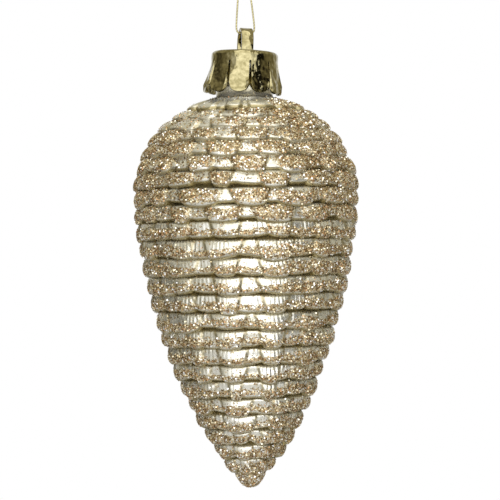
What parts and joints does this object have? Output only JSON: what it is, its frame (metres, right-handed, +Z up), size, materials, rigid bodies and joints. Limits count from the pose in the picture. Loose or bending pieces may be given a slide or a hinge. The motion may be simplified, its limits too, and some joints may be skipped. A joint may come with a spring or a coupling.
{
  "type": "hanging pine cone ornament",
  "caption": "Hollow moulded pine cone decoration with rows of overlapping scales, a petalled cap with an eye, and a thread loop to hang it by.",
  "frame": {"origin": "the hang point: the inside top of the thread loop, just under its knot", "axes": "+Z up along the cone's axis, the tip of the cone downwards; the front of the ornament faces -Y and +X is to its right"},
  "size_m": [0.0683, 0.0682, 0.1702],
  "materials": {
    "lacquered_shell": "pearl silver champagne lacquer on moulded plastic",
    "glitter": "coarse champagne and copper glitter glued to the rims of the scales",
    "plated_cap": "vacuum metallised pale olive gold plastic",
    "metallic_thread": "fine twisted gold thread"
  },
  "bodies": {
    "root": {"cone_body": "lacquered_shell", "cap": "plated_cap", "hanging_thread": "metallic_thread", "thread_knot": "metallic_thread"}
  },
  "joints": []
}
